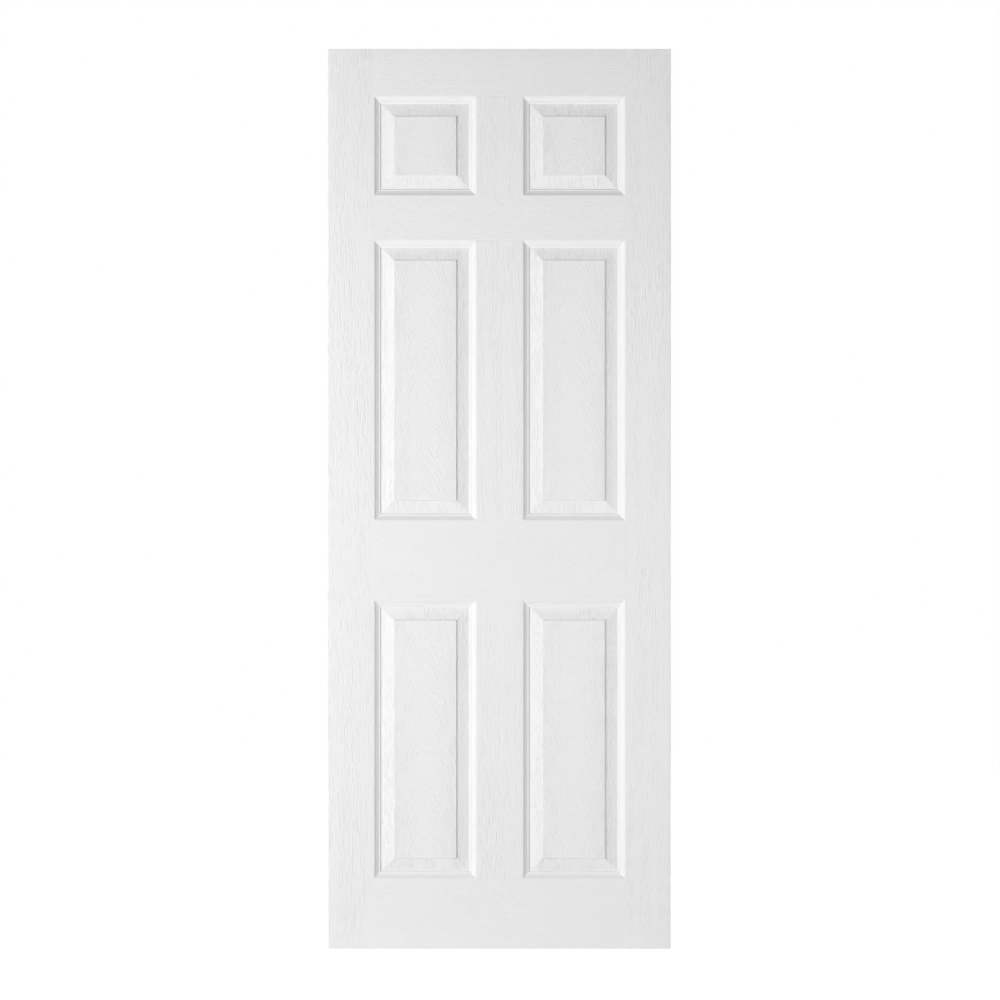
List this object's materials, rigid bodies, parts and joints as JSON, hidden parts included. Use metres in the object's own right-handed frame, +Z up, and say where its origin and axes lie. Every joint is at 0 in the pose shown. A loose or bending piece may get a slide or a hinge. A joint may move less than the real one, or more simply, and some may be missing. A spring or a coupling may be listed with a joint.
{
  "type": "moulded panel interior door leaf",
  "caption": "White moulded interior door leaf with raised and fielded panels in mitred mouldings, embossed woodgrain, a timber frame and a hollow paper core.",
  "frame": {"origin": "middle of the bottom edge, in the middle of the thickness", "axes": "+Z up the leaf, +X across the width towards the lock stile, +Y through the thickness towards the back, with the front facing -Y"},
  "size_m": [0.8, 0.035, 2.1],
  "materials": {
    "skin_primer": "white satin primer on fibreboard with embossed woodgrain",
    "frame_softwood": "planed softwood, primed white on the long edges",
    "block_softwood": "sawn softwood",
    "core_paper": "plain kraft paper",
    "staple_steel": "bright drawn wire"
  },
  "bodies": {
    "root": {"front_skin": "skin_primer", "back_skin": "skin_primer", "hinge_stile": "frame_softwood", "lock_stile": "frame_softwood", "top_rail": "frame_softwood", "bottom_rail": "frame_softwood", "hinge_side_block": "block_softwood", "lock_side_block": "block_softwood", "honeycomb_core": "core_paper", "corner_staples": "staple_steel"}
  },
  "joints": []
}
